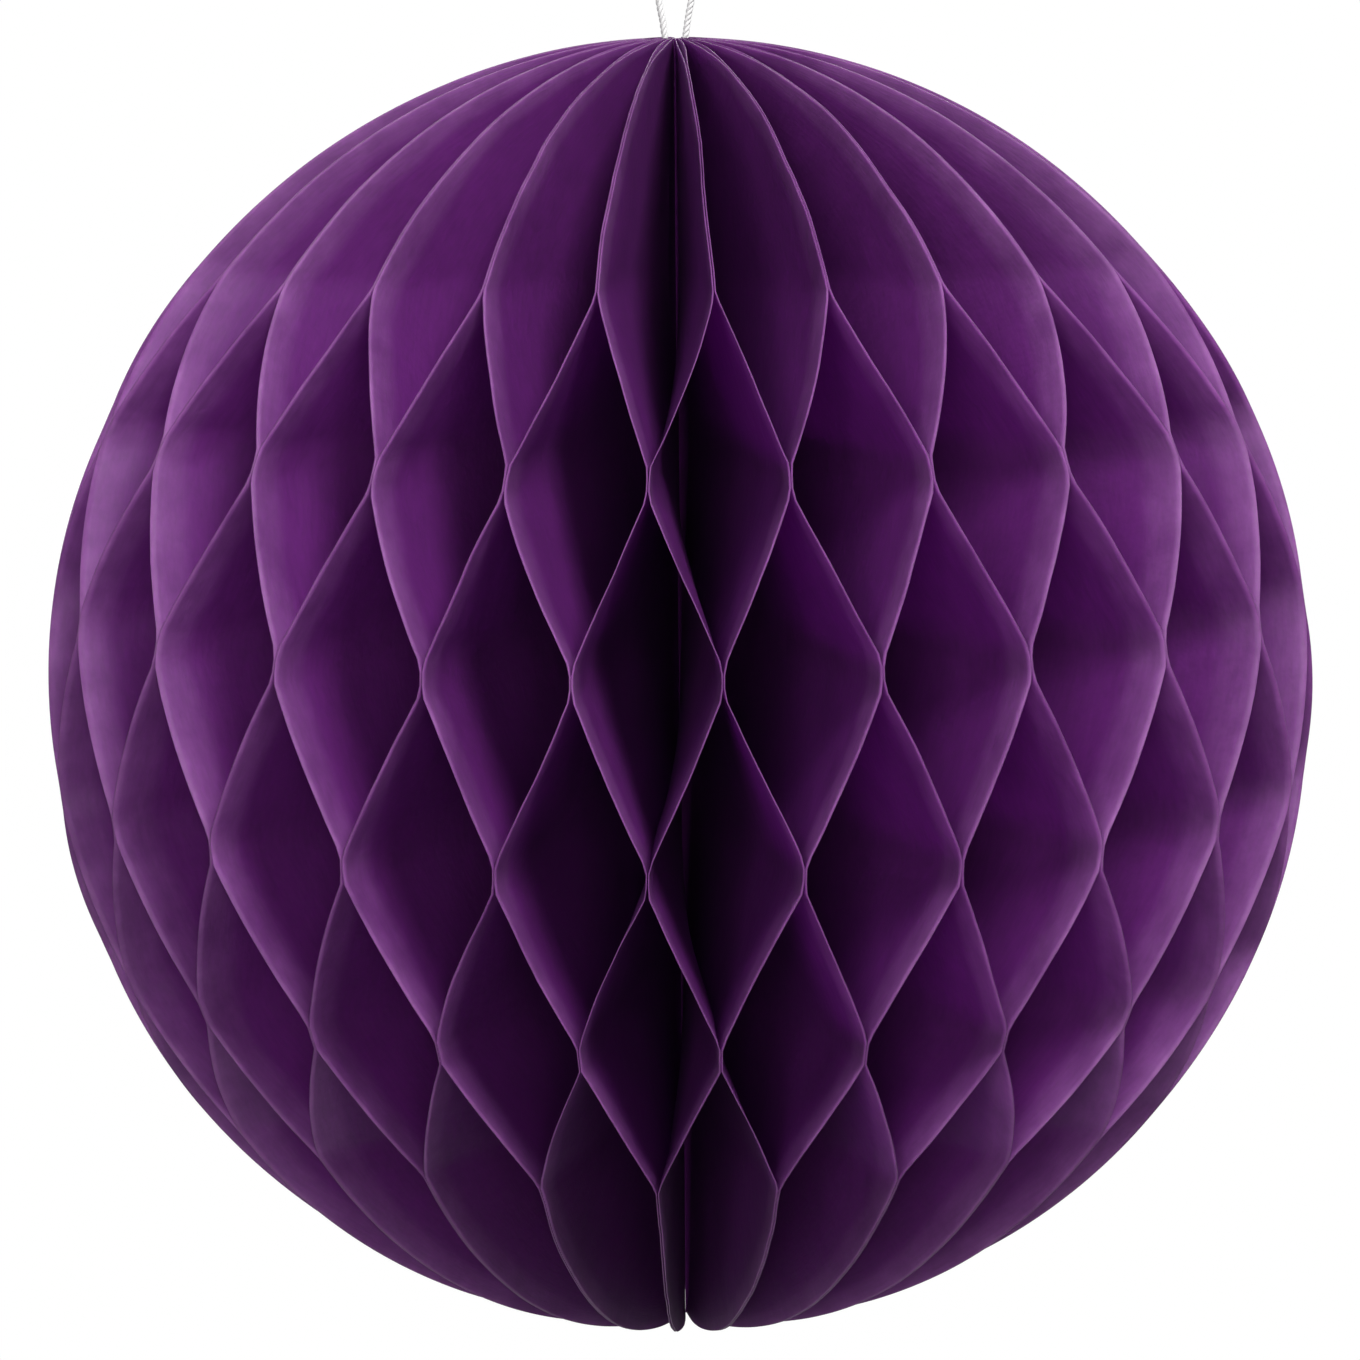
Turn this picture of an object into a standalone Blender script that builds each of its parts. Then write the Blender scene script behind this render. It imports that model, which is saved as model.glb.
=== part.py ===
"""Honeycomb ball of tissue paper on a hanging string, built leaf by leaf. Metres, +Z up, front at -Y.

Half-round leaves of tissue stand round a hollow spine like the pages of a book opened full circle.
Each leaf is glued to one neighbour along the odd rows and to the other along the even rows, so it
weaves from side to side and the gaps between leaves open into diamond cells. Two half-round card
covers meet at the back, are held face to face by two adhesive pads, and carry the string, which
passes through one punched hole near the top.
"""

from math import acos, asin, cos, pi, radians, sin, sqrt

import bmesh
import bpy
from mathutils import Matrix, Vector

# The ball, and the leaves of tissue.
BALL_WIDTH = 0.250
BALL_HEIGHT = 0.256
LEAF_COUNT = 48
LEAF_THICKNESS = 0.0002
GLUE_GAP = 0.0002
SPINE_CLEARANCE = 1.05
SIDE_SPREAD = radians(4.3)

# The rows of glue, counted from the top. Latitudes are measured on the ball's outline.
ROW_COUNT = 6
TOP_ROW_LATITUDE = radians(40.8)
ROW_PITCH = radians(15.95)
GLUE_LINE_HEIGHT = 0.0070
STEPS_BETWEEN_ROWS = 4
STEPS_TO_POLE = 8

# Past the last glue, the two leaves of a pair stay together until they near the pole.
SPLAY_START = radians(74.0)
SPLAY_END = radians(88.0)

# The two card covers and the pads that close the ball.
CARD_THICKNESS = 0.0004
CARD_INSET = 0.0005
CARD_PAST_AXIS = 0.0022
CARD_OUTLINE_STEPS = 44
PAD_THICKNESS = 0.0003
PAD_WIDTH = 0.014
PAD_LENGTH = 0.032
PAD_RADIUS = 0.062
PAD_HEIGHT = 0.060
SEAT_GAP = 0.0002

# The hanging string and the punched hole that it passes through.
STRING_DIAMETER = 0.0011
STRING_TURN_RADIUS = 0.0020
STRING_TURN_DEPTH = 0.0090
STRING_GAP = 0.0003
HOLE_DIAMETER = 0.0026
HOLE_STEPS = 12
STRING_POINT_SPACING = 0.0030
TURN_STEPS = 3
KNOT_WIDTH = 0.0036
KNOT_HEIGHT = 0.0046
KNOT_SEGMENTS = 10
KNOT_RINGS = 7
KNOT_WAIST_DEPTH = 0.16

# The free strand on one side, as (out from the axis, up from the top of the ball).
STRAND_ROUTE = (
    (0.0020, 0.0000),
    (0.0024, 0.0030),
    (0.0037, 0.0100),
    (0.0054, 0.0210),
    (0.0060, 0.0320),
    (0.0052, 0.0430),
    (0.0034, 0.0520),
    (0.0016, 0.0575),
)

TISSUE_COLOUR = (0.085, 0.014, 0.135, 1.0)
CARD_COLOUR = (0.075, 0.013, 0.115, 1.0)
PAD_COLOUR = (0.80, 0.79, 0.74, 1.0)
STRING_COLOUR = (0.82, 0.82, 0.80, 1.0)

BALL_RADIUS = BALL_WIDTH / 2
POLE_HEIGHT = BALL_HEIGHT / 2
CARD_STACK_HALF = PAD_THICKNESS / 2 + SEAT_GAP + CARD_THICKNESS
LEAF_ROOM = GLUE_GAP + LEAF_THICKNESS


def clear_scene():
    for old in list(bpy.data.objects):
        bpy.data.objects.remove(old, do_unlink=True)


def make_material(name, colour, roughness):
    material = bpy.data.materials.new(name)
    material.use_nodes = True
    shader = material.node_tree.nodes["Principled BSDF"]
    shader.inputs["Base Color"].default_value = colour
    shader.inputs["Roughness"].default_value = roughness
    shader.inputs["Metallic"].default_value = 0.0
    return material


def add_object(name, data, collection, material):
    data.materials.append(material)
    piece = bpy.data.objects.new(name, data)
    collection.objects.link(piece)
    return piece


def plane_azimuth(plane):
    """Azimuth of a glue plane from the covers' plane at the back; leaves stand closer front and back."""
    even = 2 * pi * plane / LEAF_COUNT
    return even - SIDE_SPREAD * sin(2 * even)


def plane_offset(plane):
    """How far a leaf's middle stands from the glue plane that it is glued at."""
    if plane % LEAF_COUNT == 0:
        return CARD_STACK_HALF + GLUE_GAP + LEAF_THICKNESS / 2
    return LEAF_ROOM / 2


def outline_radius(height):
    return BALL_RADIUS * sqrt(max(0.0, 1 - (height / POLE_HEIGHT) ** 2))


def outline_height(radius):
    return POLE_HEIGHT * sqrt(max(0.0, 1 - (radius / BALL_RADIUS) ** 2))


def leaf_point(leaf, radius, height, share):
    """A point of the leaf's middle surface: share 0 is at its first glue plane, 1 at its second."""
    first = plane_azimuth(leaf)
    azimuth = first + share * (plane_azimuth(leaf + 1) - first)
    aside = plane_offset(leaf) * (1 - share) - plane_offset(leaf + 1) * share
    x = radius * sin(azimuth) + aside * cos(azimuth)
    y = radius * cos(azimuth) - aside * sin(azimuth)
    return Vector((x, y, height))


def glued_share(leaf, row):
    """0 where the row is glued at the leaf's first plane, 1 where it is glued at its second."""
    return 0.0 if (leaf + row) % 2 == 1 else 1.0


def spine_edge(leaf):
    """Radius and share of the leaf's straight inner edge, where the leaves ring the hollow."""
    narrowest = min(plane_azimuth(n + 1) - plane_azimuth(n) for n in range(LEAF_COUNT))
    open_radius = SPINE_CLEARANCE * LEAF_ROOM / (2 * sin(narrowest / 2))
    beside_cover = CARD_STACK_HALF + GLUE_GAP + LEAF_THICKNESS / 2
    from_cover = min(leaf, LEAF_COUNT - 1 - leaf)
    if from_cover == 0:
        radius = SPINE_CLEARANCE * (beside_cover + LEAF_ROOM / 2) / sin(plane_azimuth(1))
        return max(open_radius, radius), 0.0 if leaf == 0 else 1.0
    middle = (plane_azimuth(from_cover) + plane_azimuth(from_cover + 1)) / 2
    if middle < pi / 2:
        return max(open_radius, beside_cover / sin(middle)), 0.5
    return open_radius, 0.5


def row_height(row):
    return POLE_HEIGHT * sin(TOP_ROW_LATITUDE - row * ROW_PITCH)


def splayed_share(leaf, row, latitude, inner_share):
    """The rim's place beyond its last glue, eased over from the glued plane to the inner edge's place."""
    part = min(1.0, max(0.0, (abs(latitude) - SPLAY_START) / (SPLAY_END - SPLAY_START)))
    smooth = part * part * (3 - 2 * part)
    glued = glued_share(leaf, row)
    return glued + (inner_share - glued) * smooth


def rim_levels(leaf, inner_radius, inner_share):
    """The leaf's round rim from the top pole to the bottom one, as (height, share, nearest row)."""
    end_latitude = acos(inner_radius / BALL_RADIUS)
    half_line = GLUE_LINE_HEIGHT / 2
    first_latitude = asin((row_height(0) + half_line) / POLE_HEIGHT)
    last_latitude = asin((row_height(ROW_COUNT - 1) - half_line) / POLE_HEIGHT)
    levels = []
    for step in range(1, STEPS_TO_POLE):
        latitude = end_latitude + (first_latitude - end_latitude) * step / STEPS_TO_POLE
        levels.append((POLE_HEIGHT * sin(latitude), splayed_share(leaf, 0, latitude, inner_share), 0))
    for row in range(ROW_COUNT):
        here = glued_share(leaf, row)
        levels.append((row_height(row) + half_line, here, row))
        levels.append((row_height(row) - half_line, here, row))
        if row == ROW_COUNT - 1:
            break
        upper = row_height(row) - half_line
        lower = row_height(row + 1) + half_line
        for step in range(1, STEPS_BETWEEN_ROWS):
            part = step / STEPS_BETWEEN_ROWS
            share = here + (glued_share(leaf, row + 1) - here) * part
            levels.append((upper + (lower - upper) * part, share, row if part <= 0.5 else row + 1))
    last_row = ROW_COUNT - 1
    for step in range(1, STEPS_TO_POLE):
        latitude = last_latitude + (-end_latitude - last_latitude) * step / STEPS_TO_POLE
        share = splayed_share(leaf, last_row, latitude, inner_share)
        levels.append((POLE_HEIGHT * sin(latitude), share, last_row))
    return levels


def build_leaf(leaf, collection, material):
    """A half-round leaf: a loft from its straight inner edge to its weaving rim, thickened."""
    inner_radius, inner_share = spine_edge(leaf)
    end_height = outline_height(inner_radius)
    shape = bmesh.new()
    top = shape.verts.new(leaf_point(leaf, inner_radius, end_height, inner_share))
    bottom = shape.verts.new(leaf_point(leaf, inner_radius, -end_height, inner_share))
    inner = [
        shape.verts.new(leaf_point(leaf, inner_radius, row_height(row), inner_share))
        for row in range(ROW_COUNT)
    ]
    rim = [(top, 0)]
    for height, share, row in rim_levels(leaf, inner_radius, inner_share):
        rim.append((shape.verts.new(leaf_point(leaf, outline_radius(height), height, share)), row))
    rim.append((bottom, ROW_COUNT - 1))
    for (upper, row), (lower, next_row) in zip(rim, rim[1:]):
        shape.faces.new((inner[row], lower, upper))
        if next_row != row:
            shape.faces.new((inner[row], inner[next_row], lower))
    mesh = bpy.data.meshes.new(f"tissue_leaf_{leaf + 1:02d}")
    shape.to_mesh(mesh)
    shape.free()
    piece = add_object(mesh.name, mesh, collection, material)
    skin = piece.modifiers.new("tissue", "SOLIDIFY")
    skin.thickness = LEAF_THICKNESS
    skin.offset = 0.0
    return piece


def hole_height():
    """The hole's centre. The ball hangs by the hole's upper edge, so the string lies close under it."""
    turn_bottom = POLE_HEIGHT - STRING_TURN_DEPTH
    at_face = STRING_TURN_RADIUS - sqrt(STRING_TURN_RADIUS**2 - CARD_STACK_HALF**2)
    lean = asin(CARD_STACK_HALF / STRING_TURN_RADIUS)
    string_top = turn_bottom + at_face + STRING_DIAMETER / 2 / cos(lean)
    return string_top + STRING_GAP - HOLE_DIAMETER / 2


def build_cover(name, side, collection, material):
    """A half-round card, punched near the top of its straight edge, which reaches just past the axis."""
    curve = bpy.data.curves.new(name, "CURVE")
    curve.dimensions = "2D"
    curve.fill_mode = "BOTH"
    curve.extrude = CARD_THICKNESS / 2
    radius = BALL_RADIUS - CARD_INSET
    height = POLE_HEIGHT - CARD_INSET
    end_latitude = acos(-CARD_PAST_AXIS / radius)
    outline = curve.splines.new("POLY")
    outline.points.add(CARD_OUTLINE_STEPS)
    for step, point in enumerate(outline.points):
        latitude = end_latitude * (2 * step / CARD_OUTLINE_STEPS - 1)
        point.co = (radius * cos(latitude), height * sin(latitude), 0.0, 1.0)
    outline.use_cyclic_u = True
    hole = curve.splines.new("POLY")
    hole.points.add(HOLE_STEPS - 1)
    for step, point in enumerate(hole.points):
        turn = 2 * pi * (step + 0.5) / HOLE_STEPS
        reach = HOLE_DIAMETER / 2 / cos(pi / HOLE_STEPS)
        point.co = (reach * cos(turn), hole_height() + reach * sin(turn), 0.0, 1.0)
    hole.use_cyclic_u = True
    piece = add_object(name, curve, collection, material)
    piece.rotation_euler = (pi / 2, 0.0, pi / 2)
    piece.location.x = side * (PAD_THICKNESS / 2 + SEAT_GAP + CARD_THICKNESS / 2)
    return piece


def build_pad(name, level, collection, material):
    """A strip of double-sided adhesive between the covers."""
    bpy.ops.mesh.primitive_cube_add(size=1.0)
    piece = bpy.context.object
    piece.name = name
    piece.data.name = name
    piece.data.transform(Matrix.Diagonal((PAD_THICKNESS, PAD_WIDTH, PAD_LENGTH, 1.0)))
    piece.location = (0.0, PAD_RADIUS, level * PAD_HEIGHT)
    piece.data.materials.append(material)
    for home in list(piece.users_collection):
        home.objects.unlink(piece)
    collection.objects.link(piece)
    return piece


def smooth_through(points, spacing):
    """Points about one spacing apart on a smooth curve through the given ones."""
    ends = [2 * points[0] - points[1], *points, 2 * points[-1] - points[-2]]
    path = [points[0]]
    for before, start, end, after in zip(ends, ends[1:], ends[2:], ends[3:]):
        count = max(1, round((end - start).length / spacing))
        for step in range(1, count + 1):
            t = step / count
            path.append(
                0.5 * (
                    2 * start
                    + (end - before) * t
                    + (2 * before - 5 * start + 4 * end - after) * t**2
                    + (3 * start - before - 3 * end + after) * t**3
                )
            )
    return path


def build_strand(name, side, collection, material):
    """Half of the string: from its turn in the punched hole, up through the hollow, to the knot."""
    turn_centre = POLE_HEIGHT - STRING_TURN_DEPTH + STRING_TURN_RADIUS
    path = []
    for step in range(TURN_STEPS + 1):
        turn = pi / 2 * step / TURN_STEPS
        out, down = STRING_TURN_RADIUS * sin(turn), STRING_TURN_RADIUS * cos(turn)
        path.append(Vector((out, 0.0, turn_centre - down)))
    path[0].x = STRING_GAP / 2
    free = [Vector((out, 0.0, POLE_HEIGHT + up)) for out, up in STRAND_ROUTE]
    path += smooth_through([path[-1], *free], STRING_POINT_SPACING)[1:]
    curve = bpy.data.curves.new(name, "CURVE")
    curve.dimensions = "3D"
    curve.bevel_depth = STRING_DIAMETER / 2
    curve.bevel_resolution = 2
    curve.use_fill_caps = True
    spline = curve.splines.new("POLY")
    spline.points.add(len(path) - 1)
    for point, place in zip(spline.points, path):
        point.co = (side * place.x, place.y, place.z, 1.0)
    return add_object(name, curve, collection, material)


def build_knot(collection, material):
    """The knot that ties the two strands: a plump barrel with a waist between its two wraps."""
    out, up = STRAND_ROUTE[-1]
    base = POLE_HEIGHT + up + STRING_GAP
    profile = bmesh.new()
    rings = []
    for ring in range(KNOT_RINGS):
        part = ring / (KNOT_RINGS - 1)
        barrel = sqrt(max(0.0, sin(pi * part)))
        waist = 1 - KNOT_WAIST_DEPTH * sin(pi * part) ** 8
        radius = KNOT_WIDTH / 2 * barrel * waist if 0 < ring < KNOT_RINGS - 1 else 0.0
        rings.append(profile.verts.new((radius, 0.0, base + KNOT_HEIGHT * (1 - part))))
    for upper, lower in zip(rings, rings[1:]):
        profile.edges.new((upper, lower))
    mesh = bpy.data.meshes.new("string_knot")
    profile.to_mesh(mesh)
    profile.free()
    piece = add_object("string_knot", mesh, collection, material)
    turned = piece.modifiers.new("turned", "SCREW")
    turned.axis = "Z"
    turned.steps = KNOT_SEGMENTS
    turned.render_steps = KNOT_SEGMENTS
    turned.use_merge_vertices = True
    turned.merge_threshold = 0.00001
    return piece


def main():
    clear_scene()
    collection = bpy.data.collections.new("honeycomb_tissue_ball")
    bpy.context.scene.collection.children.link(collection)
    tissue = make_material("purple_tissue", TISSUE_COLOUR, 0.75)
    card = make_material("purple_card", CARD_COLOUR, 0.8)
    adhesive = make_material("white_adhesive", PAD_COLOUR, 0.6)
    cotton = make_material("white_string", STRING_COLOUR, 0.7)
    for leaf in range(LEAF_COUNT):
        build_leaf(leaf, collection, tissue)
    build_cover("card_cover_left", -1, collection, card)
    build_cover("card_cover_right", 1, collection, card)
    build_pad("closing_pad_upper", 1, collection, adhesive)
    build_pad("closing_pad_lower", -1, collection, adhesive)
    build_strand("string_left", -1, collection, cotton)
    build_strand("string_right", 1, collection, cotton)
    build_knot(collection, cotton)


main()
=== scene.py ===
from math import cos, pi, radians, sin

import bpy
from mathutils import Matrix, Vector


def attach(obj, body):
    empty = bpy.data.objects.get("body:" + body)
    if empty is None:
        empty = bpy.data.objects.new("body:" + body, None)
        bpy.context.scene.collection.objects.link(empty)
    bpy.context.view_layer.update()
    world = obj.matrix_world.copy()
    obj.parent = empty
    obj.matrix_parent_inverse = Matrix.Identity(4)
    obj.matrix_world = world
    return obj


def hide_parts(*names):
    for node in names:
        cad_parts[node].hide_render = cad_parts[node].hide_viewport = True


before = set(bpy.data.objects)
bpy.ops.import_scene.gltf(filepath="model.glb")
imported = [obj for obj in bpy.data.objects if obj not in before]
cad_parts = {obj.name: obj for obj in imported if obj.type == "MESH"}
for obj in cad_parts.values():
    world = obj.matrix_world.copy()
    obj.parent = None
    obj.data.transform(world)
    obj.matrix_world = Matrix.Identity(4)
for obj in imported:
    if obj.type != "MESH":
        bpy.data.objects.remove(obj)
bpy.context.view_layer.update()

# a honeycomb tissue ball, hung on a looped string; front at -Y, the card covers' seam at +Y

ball = {
    "width": 0.250,
    "height": 0.256,
    "leafCount": 48,
    "sideSpread": radians(4.3),       # leaves stand closer at the front and back than at the sides
    "rowCount": 6,
    "topRowLatitude": radians(40.8),
    "topRowLift": 0.0040,             # the top row of glue stands this much above its even place
    "rowPitch": radians(15.95),
    "glueLineHeight": 0.0050,
    "splayStart": radians(74.0),      # the two leaves of a pair stay together until they near the pole
    "splayEnd": radians(88.0),
    "leafThickness": 0.0002,
    "glueGap": 0.0002,
    "cardThickness": 0.0004,
    "padThickness": 0.0003,
    "seatGap": 0.0002,
    "spineClearance": 1.05,
    "spineGap": 0.00002,              # left where an inner edge turns aside to its neighbour
}


# one socket of a node tree, so that sums can be written as Python expressions
class Value:
    def __init__(self, tree, socket):
        self.tree = tree
        self.socket = socket

    def __add__(self, other):
        return self.tree.math("ADD", self, other)

    def __radd__(self, other):
        return self.tree.math("ADD", other, self)

    def __sub__(self, other):
        return self.tree.math("SUBTRACT", self, other)

    def __rsub__(self, other):
        return self.tree.math("SUBTRACT", other, self)

    def __mul__(self, other):
        return self.tree.math("MULTIPLY", self, other)

    def __rmul__(self, other):
        return self.tree.math("MULTIPLY", other, self)

    def __truediv__(self, other):
        return self.tree.math("DIVIDE", self, other)

    def __pow__(self, other):
        return self.tree.math("POWER", self, other)


# a node tree of a material or of Geometry Nodes
class Tree:
    def __init__(self, nodeTree):
        self.nodeTree = nodeTree

    # settings first, then the values or links of the sockets; gives the wrapped outputs by name or number
    def node(self, kind, settings=None, values=None, output=0):
        made = self.nodeTree.nodes.new(kind)
        for name, value in (settings or {}).items():
            setattr(made, name, value)
        for name, value in (values or {}).items():
            self.fill(made.inputs[name], value)
        return Value(self, made.outputs[output]) if len(made.outputs) else made

    def fill(self, socket, value):
        if isinstance(value, Value):
            self.nodeTree.links.new(value.socket, socket)
        else:
            socket.default_value = value

    def other(self, value, output):                     # another output of the same node
        return Value(self, value.socket.node.outputs[output])

    def math(self, operation, first, second=0.0, third=0.0):
        return self.node("ShaderNodeMath", {"operation": operation}, {0: first, 1: second, 2: third})

    def clamp(self, value):
        return self.node("ShaderNodeClamp", {}, {"Value": value})

    def mix(self, factor, low, high):
        return self.node("ShaderNodeMix", {"data_type": "FLOAT"}, {0: factor, 2: low, 3: high})

    def mixColour(self, factor, first, second, blend="MIX"):
        settings = {"data_type": "RGBA", "blend_type": blend}
        return self.node("ShaderNodeMix", settings, {0: factor, 6: first, 7: second}, output=2)

    def vector(self, operation, first, second=(0.0, 0.0, 0.0)):
        return self.node("ShaderNodeVectorMath", {"operation": operation}, {0: first, 1: second})

    def scaled(self, vector, factor):
        return self.node("ShaderNodeVectorMath", {"operation": "SCALE"}, {0: vector, "Scale": factor})

    def combine(self, x, y, z):
        return self.node("ShaderNodeCombineXYZ", {}, {0: x, 1: y, 2: z})

    def split(self, vector):
        made = self.node("ShaderNodeSeparateXYZ", {}, {0: vector})
        return made, self.other(made, 1), self.other(made, 2)

    def noise(self, place, scale, detail=2.0, roughness=0.5, output=0):
        values = {"Vector": place, "Scale": scale, "Detail": detail, "Roughness": roughness}
        return self.node("ShaderNodeTexNoise", {}, values, output=output)


# an empty Geometry Nodes tree with named inputs, as (kind of socket, first value)
def newGeometryTree(name, inputs):
    group = bpy.data.node_groups.new(name, "GeometryNodeTree")
    group.interface.new_socket("Geometry", in_out="OUTPUT", socket_type="NodeSocketGeometry")
    for label, (kind, value) in inputs.items():
        socket = group.interface.new_socket(label, in_out="INPUT", socket_type="NodeSocket" + kind)
        if value is not None:
            socket.default_value = value
    tree = Tree(group)
    source = group.nodes.new("NodeGroupInput")
    return group, tree, lambda label: Value(tree, source.outputs[label])


# every tree ends here: instances made real, and the material set
def endTree(tree, geometry, material):
    real = tree.node("GeometryNodeRealizeInstances", {}, {0: geometry})
    dressed = tree.node("GeometryNodeSetMaterial", {}, {"Geometry": real, "Material": material})
    tree.node("NodeGroupOutput", {}, {0: dressed})


# runs a tree on an object and gives the result back as a plain mesh object
def grow(name, group, settings, source=None):
    carrier = source or bpy.data.objects.new(name + "Carrier", bpy.data.meshes.new(name + "Carrier"))
    if not carrier.users_collection:
        bpy.context.scene.collection.objects.link(carrier)
    modifier = carrier.modifiers.new("shape", "NODES")
    modifier.node_group = group
    for item in group.interface.items_tree:
        if item.item_type == "SOCKET" and item.in_out == "INPUT" and item.name in settings:
            modifier[item.identifier] = settings[item.name]
    evaluated = carrier.evaluated_get(bpy.context.evaluated_depsgraph_get())
    mesh = bpy.data.meshes.new_from_object(evaluated)
    mesh.name = name
    carrier.modifiers.remove(modifier)
    bpy.data.objects.remove(carrier)
    piece = bpy.data.objects.new(name, mesh)
    bpy.context.scene.collection.objects.link(piece)
    return piece


def triangles(piece):
    return sum(len(face.vertices) - 2 for face in piece.data.polygons)


# camera, where the photograph was taken from

view = {
    "distance": 1.0,
    "azimuth": radians(2.7),          # a little to the right of the front
    "elevation": radians(8.9),
    "roll": radians(0.43),
    "focalPixels": 5020.0,
    "imagePixels": 1360.0,
    "sensor": 36.0,
    "centrePixel": (680.1, 685.0),    # where the ball's centre lies in the picture
}


def placeCamera():
    data = bpy.data.cameras.new("camera")
    data.sensor_width = view["sensor"]
    data.lens = view["focalPixels"] / view["imagePixels"] * view["sensor"]
    half = view["imagePixels"] / 2
    data.shift_x = (half - view["centrePixel"][0]) / view["imagePixels"]
    data.shift_y = (view["centrePixel"][1] - half) / view["imagePixels"]
    camera = bpy.data.objects.new("camera", data)
    bpy.context.scene.collection.objects.link(camera)
    level = cos(view["elevation"])
    out = Vector((
        sin(view["azimuth"]) * level,
        -cos(view["azimuth"]) * level,
        sin(view["elevation"]),
    ))
    turn = (-out).to_track_quat("-Z", "Y").to_matrix().to_4x4()
    camera.matrix_world = (
        Matrix.Translation(out * view["distance"]) @ turn @ Matrix.Rotation(-view["roll"], 4, "Z")
    )
    bpy.context.scene.camera = camera


placeCamera()
print("camera placed")


# string: its route, its plies and its knot

string = {
    "diameter": 0.0011,
    "turnRadius": 0.0020,
    "turnDepth": 0.0090,              # the turn in the punched hole, below the top of the ball
    "endGap": 0.0003,
    "pointSpacing": 0.0030,
    "turnSteps": 3,
    # the free strand on one side, as (out from the axis, up from the top of the ball)
    "strandRoute": (
        (0.0020, 0.0000),
        (0.0024, 0.0030),
        (0.0037, 0.0100),
        (0.0054, 0.0210),
        (0.0060, 0.0320),
        (0.0052, 0.0430),
        (0.0034, 0.0520),
        (0.0016, 0.0575),
    ),
    "plies": 3,
    "plyRadius": 0.00036,
    "plyOffset": 0.00033,             # from the string's middle to a ply's middle
    "plyPitch": 0.0034,
    "stepLength": 0.00032,
    "plySides": 7,
    "knotTop": 0.0024,                # how far up inside the knot the strands turn over
}

topOfBall = ball["height"] / 2


# points about one spacing apart on a smooth curve through the given ones
def smoothThrough(points, spacing):
    ends = [2 * points[0] - points[1], *points, 2 * points[-1] - points[-2]]
    path = [points[0]]
    for before, start, end, after in zip(ends, ends[1:], ends[2:], ends[3:]):
        count = max(1, round((end - start).length / spacing))
        for step in range(1, count + 1):
            t = step / count
            path.append(0.5 * (
                2 * start
                + (end - before) * t
                + (2 * before - 5 * start + 4 * end - after) * t ** 2
                + (3 * start - before - 3 * end + after) * t ** 3
            ))
    return path


# half of the string, from the bottom of its turn up to the knot
def strandPath():
    radius = string["turnRadius"]
    centre = topOfBall - string["turnDepth"] + radius
    path = []
    for step in range(string["turnSteps"] + 1):
        turn = pi / 2 * step / string["turnSteps"]
        path.append(Vector((radius * sin(turn), 0.0, centre - radius * cos(turn))))
    path[0].x = string["endGap"] / 2
    free = [Vector((out, 0.0, topOfBall + up)) for out, up in string["strandRoute"]]
    return path + smoothThrough([path[-1], *free], string["pointSpacing"])[1:]


def wholeStringPath():
    right = strandPath()
    left = [Vector((-point.x, point.y, point.z)) for point in right]
    top = right[-1]
    over = Vector((0.0, 0.0, top.z + string["knotTop"]))
    return left + [over] + right[::-1]


def curveThrough(name, paths):
    curve = bpy.data.curves.new(name, "CURVE")
    curve.dimensions = "3D"
    for path in paths:
        spline = curve.splines.new("POLY")
        spline.points.add(len(path) - 1)
        for point, place in zip(spline.points, path):
            point.co = (*place, 1.0)
    return bpy.data.objects.new(name, curve)


# plies of yarn laid round a curve
def yarnTree():
    group, tree, given = newGeometryTree("twistedYarn", {
        "Geometry": ("Geometry", None),
        "Ply Radius": ("Float", 0.0003),
        "Ply Offset": ("Float", 0.0003),
        "Ply Pitch": ("Float", 0.003),
        "Step Length": ("Float", 0.0003),
        "Ply Sides": ("Int", 7),
        "Material": ("Material", None),
    })
    smooth = tree.node("GeometryNodeResampleCurve", {}, {"Curve": given("Geometry")})
    smoothNode = smooth.socket.node
    smoothNode.mode = "LENGTH"
    tree.fill(smoothNode.inputs["Length"], given("Step Length"))
    along = tree.node("GeometryNodeSplineParameter", output="Length")
    normal = tree.node("GeometryNodeInputNormal")
    tangent = tree.node("GeometryNodeInputTangent")
    side = tree.vector("CROSS_PRODUCT", tangent, normal)
    profile = tree.node(
        "GeometryNodeCurvePrimitiveCircle", {"mode": "RADIUS"},
        {"Resolution": given("Ply Sides"), "Radius": given("Ply Radius")},
    )
    join = group.nodes.new("GeometryNodeJoinGeometry")
    for ply in range(string["plies"]):
        turn = along / given("Ply Pitch") * (2 * pi) + 2 * pi * ply / string["plies"]
        outward = tree.vector(
            "ADD",
            tree.scaled(normal, tree.math("COSINE", turn) * given("Ply Offset")),
            tree.scaled(side, tree.math("SINE", turn) * given("Ply Offset")),
        )
        strand = tree.node("GeometryNodeSetPosition", {}, {"Geometry": smooth, "Offset": outward})
        tube = tree.node(
            "GeometryNodeCurveToMesh", {},
            {"Curve": strand, "Profile Curve": profile, "Fill Caps": True},
        )
        group.links.new(tube.socket, join.inputs[0])
    endTree(tree, Value(tree, join.outputs[0]), given("Material"))
    return group


def yarnSettings(material):
    return {
        "Ply Radius": string["plyRadius"],
        "Ply Offset": string["plyOffset"],
        "Ply Pitch": string["plyPitch"],
        "Step Length": string["stepLength"],
        "Ply Sides": string["plySides"],
        "Material": material,
    }


knot = {
    "wrapRadius": 0.00120,
    "wrapTurns": 2.6,
    "wrapRise": 0.0030,
    "wrapSteps": 64,
    "base": 0.0010,                   # above the ends of the strands
    "tuckedIn": 0.35,                 # share of the wrap's radius at which its ends go in
    "tuckSpeed": 6.0,
    "tailFoot": 0.0016,               # above the foot of the knot
    "tailOut": 0.00045,
    "tailLength": 0.0075,
    "tailSpread": 0.0030,
    "tailCurl": 1.6,
    "tailLean": 0.0012,
    "tailSteps": 12,
}


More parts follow.
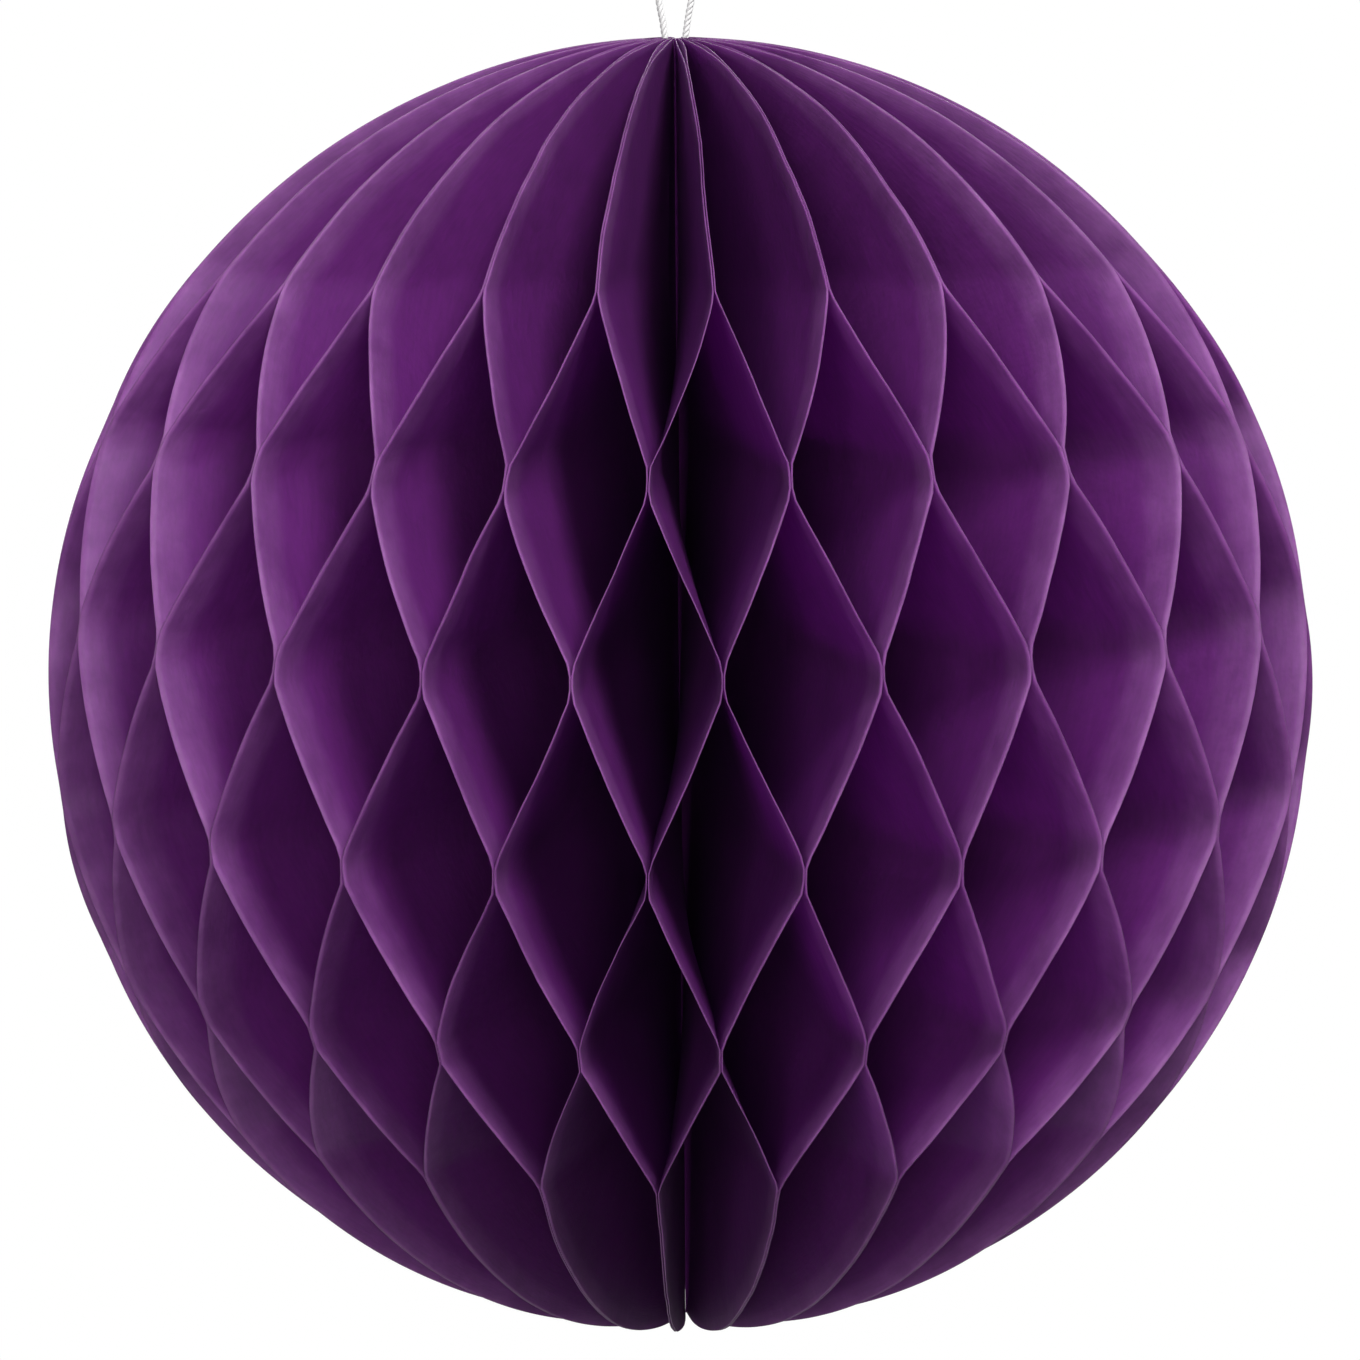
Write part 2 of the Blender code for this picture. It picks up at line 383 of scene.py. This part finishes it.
# two wraps round the strands, and the two cut ends that stand out of them
def knotPaths():
    foot = topOfBall + string["strandRoute"][-1][1] + knot["base"]
    wrap = []
    for step in range(knot["wrapSteps"] + 1):
        part = step / knot["wrapSteps"]
        turn = 2 * pi * knot["wrapTurns"] * part
        tuck = min(1.0, knot["tuckSpeed"] * part, knot["tuckSpeed"] * (1 - part))
        reach = knot["wrapRadius"] * (knot["tuckedIn"] + (1 - knot["tuckedIn"]) * tuck)
        wrap.append(Vector((reach * cos(turn), reach * sin(turn), foot + knot["wrapRise"] * part)))
    paths = [wrap]
    for side in (-1, 1):
        tail = []
        for step in range(knot["tailSteps"] + 1):
            part = step / knot["tailSteps"]
            out = knot["tailOut"] + knot["tailSpread"] * part ** knot["tailCurl"]
            lean = knot["tailLean"] * side * sin(pi * part)
            rise = knot["tailFoot"] + knot["tailLength"] * part
            tail.append(Vector((side * out, lean, foot + rise)))
        paths.append(tail)
    return paths


# materials

def newMaterial(name, constants):
    material = bpy.data.materials.new(name)
    material.use_nodes = True
    material.node_tree.nodes.clear()
    tree = Tree(material.node_tree)
    shader = material.node_tree.nodes.new("ShaderNodeBsdfPrincipled")
    for socket, value in constants.items():
        shader.inputs[socket].default_value = value
    output = material.node_tree.nodes.new("ShaderNodeOutputMaterial")
    material.node_tree.links.new(shader.outputs[0], output.inputs["Surface"])
    return material, tree, shader


# the same colour, lighter and darker by a tone
def toned(tree, colour, tone):
    return tree.mixColour(1.0, colour, tree.combine(tone, tone, tone), "MULTIPLY")


def addBump(tree, shader, height, finish):
    values = {"Strength": finish["bumpStrength"], "Distance": finish["bumpHeight"], "Height": height}
    tree.fill(shader.inputs["Normal"], tree.node("ShaderNodeBump", {}, values))


tissue = {
    "deepColour": (0.072, 0.0075, 0.096, 1.0),     # the dyed paper's own colour, wherever no painted light is mixed over it
    "paintedRimLightColour": (0.260, 0.112, 0.288, 1.0),    # painted light: paler and greyer along the cut rim, for the light and sheen that fall on each leaf near its rim
    "cutColour": (0.092, 0.026, 0.112, 1.0),
    "cutShare": 0.75,
    "paintedRimLightFade": 0.0022,                        # metres over which the painted light along the rim fades
    "paintedRimLightShare": 0.28,
    "paintedBandWidth": 0.0095,                           # the faint band of painted light behind the rim, for light reaching a little way into each cell
    "paintedBandWander": 0.008,
    "paintedBandFade": 0.0045,
    "paintedBandShare": 0.12,
    "paintedBandScale": 30.0,
    "paintedLightLeast": 0.1,                            # where the mottling leaves the rim without painted light
    "paintedLightMottle": 1.8,
    "fibreScale": 900.0,
    "fibreStretch": 0.25,
    "mottleScale": 70.0,
    "crinkleScale": 160.0,
    "toneLeast": 0.56,
    "toneMottle": 0.44,
    "toneFibres": 0.44,
    "roughness": 0.62,
    "roughnessSpread": 0.12,
    "specular": 0.20,
    "glow": 0.9,                                   # how much of the light enters the paper
    "glowReach": (1.0, 0.35, 1.2),
    "glowDepth": 0.0010,
    "bumpStrength": 0.35,
    "bumpHeight": 0.0006,
    "fibreBump": 0.25,
}


def tissueMaterial(name, cut=False):
    material, tree, shader = newMaterial(name, {
        "Metallic": 0.0,
        "Specular IOR Level": tissue["specular"],
        "Subsurface Weight": tissue["glow"],
        "Subsurface Radius": tissue["glowReach"],
        "Subsurface Scale": tissue["glowDepth"],
    })
    shader.subsurface_method = "BURLEY"                 # quicker, and as good on thin paper
    place = tree.node("ShaderNodeTexCoord", output="Object")
    fromRim, alongRim, _ = tree.split(tree.node("ShaderNodeUVMap", {"uv_map": "leafMap"}))
    stretched = tree.combine(fromRim, alongRim * tissue["fibreStretch"], 0.0)
    fibres = tree.noise(stretched, tissue["fibreScale"], 3.0, 0.6)
    mottle = tree.noise(place, tissue["mottleScale"], 4.0, 0.6)
    crinkle = tree.noise(place, tissue["crinkleScale"], 3.0, 0.55)
    wander = tree.noise(place, tissue["paintedBandScale"], 2.0, 0.5) - 0.5
    # painted light: near the rim and in a band behind it the paper is mixed towards a paler colour, for
    # the light and sheen on the leaves' outer parts while the cells' depths stay in shade
    rimLightPaintFalloff = tree.math("EXPONENT", fromRim / -tissue["paintedRimLightFade"])
    paintedBandEdge = tissue["paintedBandWidth"] + tissue["paintedBandWander"] * wander
    insidePaintedBand = tree.clamp((paintedBandEdge - fromRim) / tissue["paintedBandFade"])
    paintedBandMask = insidePaintedBand * insidePaintedBand * (3 - 2 * insidePaintedBand)
    paintedLightPatches = tissue["paintedLightLeast"] + tissue["paintedLightMottle"] * mottle
    paintedLightMask = tree.clamp((tissue["paintedRimLightShare"] * rimLightPaintFalloff + tissue["paintedBandShare"] * paintedBandMask) * paintedLightPatches)
    base = tree.mixColour(paintedLightMask, tissue["deepColour"], tissue["paintedRimLightColour"])
    if cut:
        base = tree.mixColour(tissue["cutShare"], base, tissue["cutColour"])
    tone = tissue["toneLeast"] + tissue["toneMottle"] * mottle + tissue["toneFibres"] * fibres
    tree.fill(shader.inputs["Base Color"], toned(tree, base, tone))
    tree.fill(shader.inputs["Roughness"], tissue["roughness"] + tissue["roughnessSpread"] * (fibres - 0.5))
    addBump(tree, shader, crinkle + tissue["fibreBump"] * fibres, tissue)
    return material


card = {
    "colour": (0.055, 0.009, 0.073, 1.0),
    "wornColour": (0.150, 0.070, 0.170, 1.0),
    "wornShare": 0.8,
    "wornFade": 140.0,                             # how fast the worn rim fades inwards
    "fibreScale": 500.0,
    "fibreStretch": 0.3,
    "mottleScale": 45.0,
    "toneLeast": 0.84,
    "toneMottle": 0.20,
    "toneFibres": 0.12,
    "roughness": 0.72,
    "roughnessSpread": 0.14,
    "specular": 0.3,
    "bumpStrength": 0.25,
    "bumpHeight": 0.0003,
}


def cardMaterial():
    constants = {"Metallic": 0.0, "Specular IOR Level": card["specular"]}
    material, tree, shader = newMaterial("purpleCard", constants)
    place = tree.node("ShaderNodeTexCoord", output="Object")
    x, y, z = tree.split(place)
    fromRim = 1 - tree.math("SQRT", (y / (ball["width"] / 2)) ** 2 + (z / (ball["height"] / 2)) ** 2)
    worn = tree.clamp(tree.math("EXPONENT", fromRim * -card["wornFade"]) * card["wornShare"])
    mottle = tree.noise(place, card["mottleScale"], 4.0, 0.6)
    fibres = tree.noise(tree.combine(x, y, z * card["fibreStretch"]), card["fibreScale"], 3.0, 0.6)
    base = tree.mixColour(worn, card["colour"], card["wornColour"])
    tone = card["toneLeast"] + card["toneMottle"] * mottle + card["toneFibres"] * fibres
    tree.fill(shader.inputs["Base Color"], toned(tree, base, tone))
    tree.fill(shader.inputs["Roughness"], card["roughness"] + card["roughnessSpread"] * mottle)
    addBump(tree, shader, fibres, card)
    return material


adhesive = {
    "darkColour": (0.74, 0.72, 0.64, 1.0),
    "lightColour": (0.86, 0.85, 0.80, 1.0),
    "grainScale": 260.0,
    "roughness": 0.35,
    "roughnessSpread": 0.3,
    "specular": 0.5,
    "bumpStrength": 0.2,
    "bumpHeight": 0.0002,
}


def adhesiveMaterial():
    constants = {"Metallic": 0.0, "Specular IOR Level": adhesive["specular"]}
    material, tree, shader = newMaterial("whiteAdhesive", constants)
    place = tree.node("ShaderNodeTexCoord", output="Object")
    grain = tree.noise(place, adhesive["grainScale"], 3.0, 0.5)
    colour = tree.mixColour(grain, adhesive["darkColour"], adhesive["lightColour"])
    tree.fill(shader.inputs["Base Color"], colour)
    tree.fill(shader.inputs["Roughness"], adhesive["roughness"] + adhesive["roughnessSpread"] * grain)
    addBump(tree, shader, grain, adhesive)
    return material


cotton = {
    "darkColour": (0.44, 0.44, 0.45, 1.0),
    "lightColour": (0.74, 0.74, 0.73, 1.0),
    "soiledColour": (0.60, 0.59, 0.57, 1.0),
    "soiledShare": 0.35,
    "lintScale": 2600.0,
    "soilScale": 140.0,
    "roughness": 0.78,
    "roughnessSpread": 0.18,
    "specular": 0.25,
    "sheen": 0.3,
    "sheenRoughness": 0.5,
    "bumpStrength": 0.5,
    "bumpHeight": 0.00012,
}


def cottonMaterial():
    material, tree, shader = newMaterial("whiteCotton", {
        "Metallic": 0.0,
        "Specular IOR Level": cotton["specular"],
        "Sheen Weight": cotton["sheen"],
        "Sheen Roughness": cotton["sheenRoughness"],
    })
    place = tree.node("ShaderNodeTexCoord", output="Object")
    lint = tree.noise(place, cotton["lintScale"], 3.0, 0.6)
    soil = tree.noise(place, cotton["soilScale"], 2.0, 0.5)
    yarn = tree.mixColour(lint, cotton["darkColour"], cotton["lightColour"])
    colour = tree.mixColour(soil * cotton["soiledShare"], yarn, cotton["soiledColour"])
    tree.fill(shader.inputs["Base Color"], colour)
    tree.fill(shader.inputs["Roughness"], cotton["roughness"] + cotton["roughnessSpread"] * lint)
    addBump(tree, shader, lint, cotton)
    return material


tissuePaper = tissueMaterial("purpleTissue")
tissueCut = tissueMaterial("purpleTissueCut", cut=True)
cardBoard = cardMaterial()
padAdhesive = adhesiveMaterial()
stringCotton = cottonMaterial()
print("materials made")


# string and knot, grown along their routes

def dressString():
    group = yarnTree()
    path = wholeStringPath()
    whole = grow("hangingString", group, yarnSettings(stringCotton), curveThrough("stringRoute", [path]))
    tied = grow("stringKnot", group, yarnSettings(stringCotton), curveThrough("knotRoute", knotPaths()))
    for piece, nodes in ((whole, ("string_left", "string_right")), (tied, ("string_knot",))):
        piece.data.shade_smooth()
        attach(piece, "root")
        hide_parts(*nodes)
    length = sum((after - before).length for before, after in zip(path, path[1:]))
    print("string", round(length, 4), "m,", triangles(whole) + triangles(tied), "triangles")


dressString()


# tissue leaves

leaf = {
    "depthSteps": 16,
    "rimSteps": 168,
    "rimCrowding": 1.6,               # packs the columns of the mesh towards the rim
    "sway": 0.0011,                   # how far the glued rows wander sideways, in metres
    "swayScale": 17.0,
    "swayGain": 4.0,                  # the noise strays about a quarter from its middle
    "wrinkle": 0.00035,
    "wrinkleScale": 75.0,
    "wrinkleGain": 2.0,
    "lift": 0.0008,                   # how far they wander up and down
    "liftPlace": (3.1, 1.7, 5.3),     # where in the noise the lift is read, apart from the sway
    "coverFade": radians(14.0),       # nothing wanders beside the stiff covers
    "poleFade": 2.0,                  # nor close to the poles
    "seed": 7.0,
    "seedTurn": 0.37,
    "mergeDistance": 0.00001,
}

cardStackHalf = ball["padThickness"] / 2 + ball["seatGap"] + ball["cardThickness"]
besideCover = cardStackHalf + ball["glueGap"] + ball["leafThickness"] / 2
leafRoom = ball["glueGap"] + ball["leafThickness"]


# azimuth of a glue plane, from the covers' plane at the back
def planeAzimuth(plane):
    even = 2 * pi * plane / ball["leafCount"]
    return even - ball["sideSpread"] * sin(2 * even)


def planeOffset(plane):
    return besideCover if plane % ball["leafCount"] == 0 else leafRoom / 2


# radius and share of a leaf's straight inner edge, where the leaves ring the hollow
def spineEdge(number):
    count = ball["leafCount"]
    narrowest = min(planeAzimuth(n + 1) - planeAzimuth(n) for n in range(count))
    openRadius = ball["spineClearance"] * leafRoom / (2 * sin(narrowest / 2))
    fromCover = min(number, count - 1 - number)
    if fromCover == 0:
        radius = ball["spineClearance"] * (besideCover + leafRoom / 2) / sin(planeAzimuth(1))
        return max(openRadius, radius), 0.0 if number == 0 else 1.0
    middle = (planeAzimuth(fromCover) + planeAzimuth(fromCover + 1)) / 2
    if middle < pi / 2:
        return max(openRadius, besideCover / sin(middle)), 0.5
    return openRadius, 0.5


# a leaf weaves between its two glue planes: share 0 is at the first, 1 at the second
def leafTree():
    group, tree, given = newGeometryTree("honeycombLeaf", {
        "Leaf Number": ("Float", 0.0),
        "Leaf Count": ("Float", 48.0),
        "Ball Radius": ("Float", 0.125),
        "Half Height": ("Float", 0.128),
        "Side Spread": ("Float", 0.0),
        "Top Row Latitude": ("Float", 0.7),
        "Top Row Lift": ("Float", 0.0),
        "Row Pitch": ("Float", 0.28),
        "Row Count": ("Float", 6.0),
        "Half Glue Line": ("Float", 0.003),
        "Splay Start": ("Float", 1.0),
        "Splay End": ("Float", 1.5),
        "Inner Radius": ("Float", 0.004),
        "Inner Share": ("Float", 0.5),
        "Spine Turn": ("Float", 0.0),
        "First Offset": ("Float", 0.0002),
        "Second Offset": ("Float", 0.0002),
        "Depth Steps": ("Int", 16),
        "Rim Steps": ("Int", 160),
        "Rim Crowding": ("Float", 1.6),
        "Sway": ("Float", 0.001),
        "Sway Scale": ("Float", 17.0),
        "Wrinkle": ("Float", 0.0003),
        "Wrinkle Scale": ("Float", 75.0),
        "Lift": ("Float", 0.0008),
        "Cover Fade": ("Float", 0.25),
        "Seed": ("Float", 0.0),
        "Material": ("Material", None),
    })
    sheet = tree.node("GeometryNodeMeshGrid", {}, {
        "Size X": 1.0,
        "Size Y": 1.0,
        "Vertices X": given("Depth Steps"),
        "Vertices Y": given("Rim Steps"),
    })
    across, up, _ = tree.split(tree.node("GeometryNodeInputPosition"))
    column = (across + 0.5) * (given("Depth Steps") - 1)
    depth = 1 - (1 - tree.clamp((column - 1) / (given("Depth Steps") - 2))) ** given("Rim Crowding")
    innermost = 1 - tree.clamp(column)                  # the first column is the turned edge at the spine
    endLatitude = tree.math("ARCCOSINE", given("Inner Radius") / given("Ball Radius"))
    latitude = 2 * up * endLatitude
    height = given("Half Height") * tree.math("SINE", latitude)
    rimRadius = given("Ball Radius") * tree.math("COSINE", latitude)

    # share of the wedge at the rim, row by row
    rowPlace = (given("Top Row Latitude") - latitude) / given("Row Pitch")
    row = tree.math("MAXIMUM", tree.math("FLOOR", rowPlace), 0.0)
    row = tree.math("MINIMUM", row, given("Row Count") - 2)
    upperLatitude = given("Top Row Latitude") - row * given("Row Pitch")
    lifted = given("Top Row Lift") * (1 - tree.math("MINIMUM", row, 1.0))
    upper = given("Half Height") * tree.math("SINE", upperLatitude) + lifted - given("Half Glue Line")
    lowerLatitude = upperLatitude - given("Row Pitch")
    lower = given("Half Height") * tree.math("SINE", lowerLatitude) + given("Half Glue Line")
    part = tree.clamp((upper - height) / (upper - lower))
    here = 1 - tree.math("MODULO", given("Leaf Number") + row, 2.0)
    glued = here + (1 - 2 * here) * part
    steep = tree.math("ABSOLUTE", latitude)
    parting = tree.clamp((steep - given("Splay Start")) / (given("Splay End") - given("Splay Start")))
    share = glued + (given("Inner Share") - glued) * (parting * parting * (3 - 2 * parting))

    # the inner edge and the rim at this height, and the paper straight between them
    def planeAngle(plane):
        even = plane * (2 * pi) / given("Leaf Count")
        return even - given("Side Spread") * tree.math("SINE", 2 * even)

    first = planeAngle(given("Leaf Number"))
    wedge = planeAngle(given("Leaf Number") + 1) - first

    def leafPoint(radius, portion):
        angle = first + portion * wedge
        aside = given("First Offset") * (1 - portion) - given("Second Offset") * portion
        x = radius * tree.math("SINE", angle) + aside * tree.math("COSINE", angle)
        y = radius * tree.math("COSINE", angle) - aside * tree.math("SINE", angle)
        return tree.combine(x, y, height)

    innerAngle = first + given("Inner Share") * wedge
    aside = given("Spine Turn") * innermost             # the edge is turned over to meet the next leaf
    turned = tree.combine(
        aside * tree.math("COSINE", innerAngle),
        0 - aside * tree.math("SINE", innerAngle),
        0.0,
    )
    inner = tree.vector("ADD", leafPoint(given("Inner Radius"), given("Inner Share")), turned)
    rim = leafPoint(rimRadius, share)
    flat = tree.node(
        "ShaderNodeMix", {"data_type": "VECTOR"}, {0: depth, 4: inner, 5: rim}, output=1,
    )

    # one smooth wandering of the whole space, so that glued leaves wander together
    x, y, z = tree.split(flat)
    angle = tree.math("ARCTAN2", x, y)
    beside = tree.clamp(tree.math("ABSOLUTE", angle) / given("Cover Fade"))
    nearPole = tree.clamp(rimRadius / given("Ball Radius") * leaf["poleFade"])
    fade = beside * beside * (3 - 2 * beside) * nearPole
    apart = tree.combine(given("Seed"), given("Seed") * leaf["seedTurn"], 0.0)
    swayPlace = tree.vector("ADD", flat, apart)
    liftPlace = tree.vector("ADD", swayPlace, leaf["liftPlace"])
    coarse = tree.noise(swayPlace, given("Sway Scale"), 1.0, 0.4) - 0.5
    raised = tree.noise(liftPlace, given("Sway Scale"), 1.0, 0.4) - 0.5
    fine = tree.noise(swayPlace, given("Wrinkle Scale"), 2.0, 0.5) - 0.5
    swaying = given("Sway") * leaf["swayGain"] * coarse
    wrinkling = given("Wrinkle") * leaf["wrinkleGain"] * fine
    sideways = (swaying + wrinkling) * fade * depth
    upward = given("Lift") * leaf["swayGain"] * raised * fade * depth
    level = tree.math("COSINE", latitude)
    slope = tree.math("SINE", latitude)
    shift = tree.combine(
        sideways * tree.math("COSINE", angle) - upward * slope * tree.math("SINE", angle),
        0 - sideways * tree.math("SINE", angle) - upward * slope * tree.math("COSINE", angle),
        upward * level,
    )
    place = tree.vector("ADD", flat, shift)

    fromRim = (rimRadius - given("Inner Radius")) * (1 - depth)
    mapped = tree.node(
        "GeometryNodeStoreNamedAttribute", {"data_type": "FLOAT2", "domain": "CORNER"},
        {
            "Geometry": sheet,
            "Name": "leafMap",
            "Value": tree.combine(fromRim, latitude * given("Ball Radius"), 0.0),
        },
    )
    shaped = tree.node("GeometryNodeSetPosition", {}, {"Geometry": mapped, "Position": place})
    merging = {"Geometry": shaped, "Distance": leaf["mergeDistance"]}
    closed = tree.node("GeometryNodeMergeByDistance", {}, merging)
    smooth = tree.node("GeometryNodeSetShadeSmooth", {}, {"Geometry": closed, "Shade Smooth": True})
    endTree(tree, smooth, given("Material"))
    return group


def buildLeaf(number, group):
    innerRadius, innerShare = spineEdge(number)
    wedge = planeAzimuth(number + 1) - planeAzimuth(number)
    spineTurn = innerRadius * wedge - ball["leafThickness"] / 2 - ball["spineGap"]
    if number == ball["leafCount"] - 1:                 # the last leaf lies on a cover
        spineTurn = 0.0
    piece = grow(f"tissueLeaf{number + 1:02d}", group, {
        "Leaf Number": float(number),
        "Leaf Count": float(ball["leafCount"]),
        "Ball Radius": ball["width"] / 2,
        "Half Height": ball["height"] / 2,
        "Side Spread": ball["sideSpread"],
        "Top Row Latitude": ball["topRowLatitude"],
        "Top Row Lift": ball["topRowLift"],
        "Row Pitch": ball["rowPitch"],
        "Row Count": float(ball["rowCount"]),
        "Half Glue Line": ball["glueLineHeight"] / 2,
        "Splay Start": ball["splayStart"],
        "Splay End": ball["splayEnd"],
        "Inner Radius": innerRadius,
        "Inner Share": innerShare,
        "Spine Turn": spineTurn,
        "First Offset": planeOffset(number),
        "Second Offset": planeOffset(number + 1),
        "Depth Steps": leaf["depthSteps"] + 2,
        "Rim Steps": leaf["rimSteps"] + 1,
        "Rim Crowding": leaf["rimCrowding"],
        "Sway": leaf["sway"],
        "Sway Scale": leaf["swayScale"],
        "Wrinkle": leaf["wrinkle"],
        "Wrinkle Scale": leaf["wrinkleScale"],
        "Lift": leaf["lift"],
        "Cover Fade": leaf["coverFade"],
        "Seed": leaf["seed"],
        "Material": tissuePaper,
    })
    piece.data.materials.append(tissueCut)
    skin = piece.modifiers.new("paper", "SOLIDIFY")
    skin.thickness = ball["leafThickness"]
    skin.offset = 0.0
    skin.material_offset_rim = 1
    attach(piece, "root")
    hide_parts(f"tissue_leaf_{number + 1:02d}")
    width = ball["width"] / 2 - innerRadius
    cutArea = pi / 4 * ball["width"] * ball["height"] / 2 - innerRadius * ball["height"]
    return piece


leafGroup = leafTree()
leaves = [buildLeaf(number, leafGroup) for number in range(ball["leafCount"])]
print(len(leaves), "leaves,", triangles(leaves[0]), "triangles on one side of each")


# covers and pads keep their shape and get their finish

def dress(node, material):
    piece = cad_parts[node]
    piece.data.materials.clear()
    piece.data.materials.append(material)


for coverSide in ("left", "right"):
    dress("card_cover_" + coverSide, cardBoard)
for padLevel in ("upper", "lower"):
    dress("closing_pad_" + padLevel, padAdhesive)
print("covers and pads dressed")


# floor, room and lights

studio = {
    "floorHeight": -0.80,
    "floorRadius": 1.60,
    "floorColour": (0.62, 0.62, 0.62, 1.0),
    "floorRoughness": 0.9,
    "floorFade": 2.0,                 # the outer half of it fades away
    "roomAbove": 0.30,
    "roomBelow": 0.05,
    "roomSlope": 0.7,                 # how sharply the room darkens downwards
}

# suns with a wide disc, as (name, strength, softness, from)
suns = (
    ("keyLight", 3.8, radians(20.0), (0.36, -0.52, 0.86)),
    ("leftLight", 0.4, radians(24.0), (-0.50, -0.50, 0.72)),
    ("frontLight", 2.2, radians(40.0), (-0.06, -1.00, 0.16)),
    ("backLight", 1.7, radians(40.0), (0.00, 1.00, 0.35)),
)


# a pale floor far below, which fades out into the white room
def buildFloor():
    mesh = bpy.data.meshes.new("floor")
    reach = studio["floorRadius"]
    height = studio["floorHeight"]
    corners = ((-1, -1), (1, -1), (1, 1), (-1, 1))
    mesh.from_pydata([(x * reach, y * reach, height) for x, y in corners], [], [(0, 1, 2, 3)])
    floor = bpy.data.objects.new("floor", mesh)
    bpy.context.scene.collection.objects.link(floor)
    constants = {"Roughness": studio["floorRoughness"], "Base Color": studio["floorColour"]}
    material, tree, shader = newMaterial("paleFloor", constants)
    x, y, _ = tree.split(tree.node("ShaderNodeTexCoord", output="Object"))
    away = tree.math("SQRT", x ** 2 + y ** 2) / reach
    tree.fill(shader.inputs["Alpha"], tree.clamp((1 - away) * studio["floorFade"]))
    mesh.materials.append(material)
    floor.visible_diffuse = False                       # it throws no light up on the ball


# white to look at; as a light it is softer, and dimmer from below
def buildRoom():
    world = bpy.data.worlds.new("softRoom")
    world.use_nodes = True
    world.node_tree.nodes.clear()
    tree = Tree(world.node_tree)
    seen = tree.node("ShaderNodeLightPath", output="Is Camera Ray")
    _, _, upward = tree.split(tree.node("ShaderNodeTexCoord", output="Generated"))
    raised = tree.clamp(upward * studio["roomSlope"] + 0.5)
    glow = tree.mix(raised, studio["roomBelow"], studio["roomAbove"])
    room = tree.node("ShaderNodeBackground", {}, {
        "Color": (1.0, 1.0, 1.0, 1.0),
        "Strength": tree.mix(seen, glow, 1.0),
    })
    tree.node("ShaderNodeOutputWorld", {}, {"Surface": room})
    bpy.context.scene.world = world


def buildSun(name, strength, softness, origin):
    data = bpy.data.lights.new(name, "SUN")
    data.energy = strength
    data.angle = softness
    lamp = bpy.data.objects.new(name, data)
    bpy.context.scene.collection.objects.link(lamp)
    lamp.location = origin
    lamp.rotation_euler = (-Vector(origin)).to_track_quat("-Z", "Y").to_euler()


buildFloor()
buildRoom()
for sun in suns:
    buildSun(*sun)
bpy.context.scene.view_settings.view_transform = "Standard"
print("studio ready")
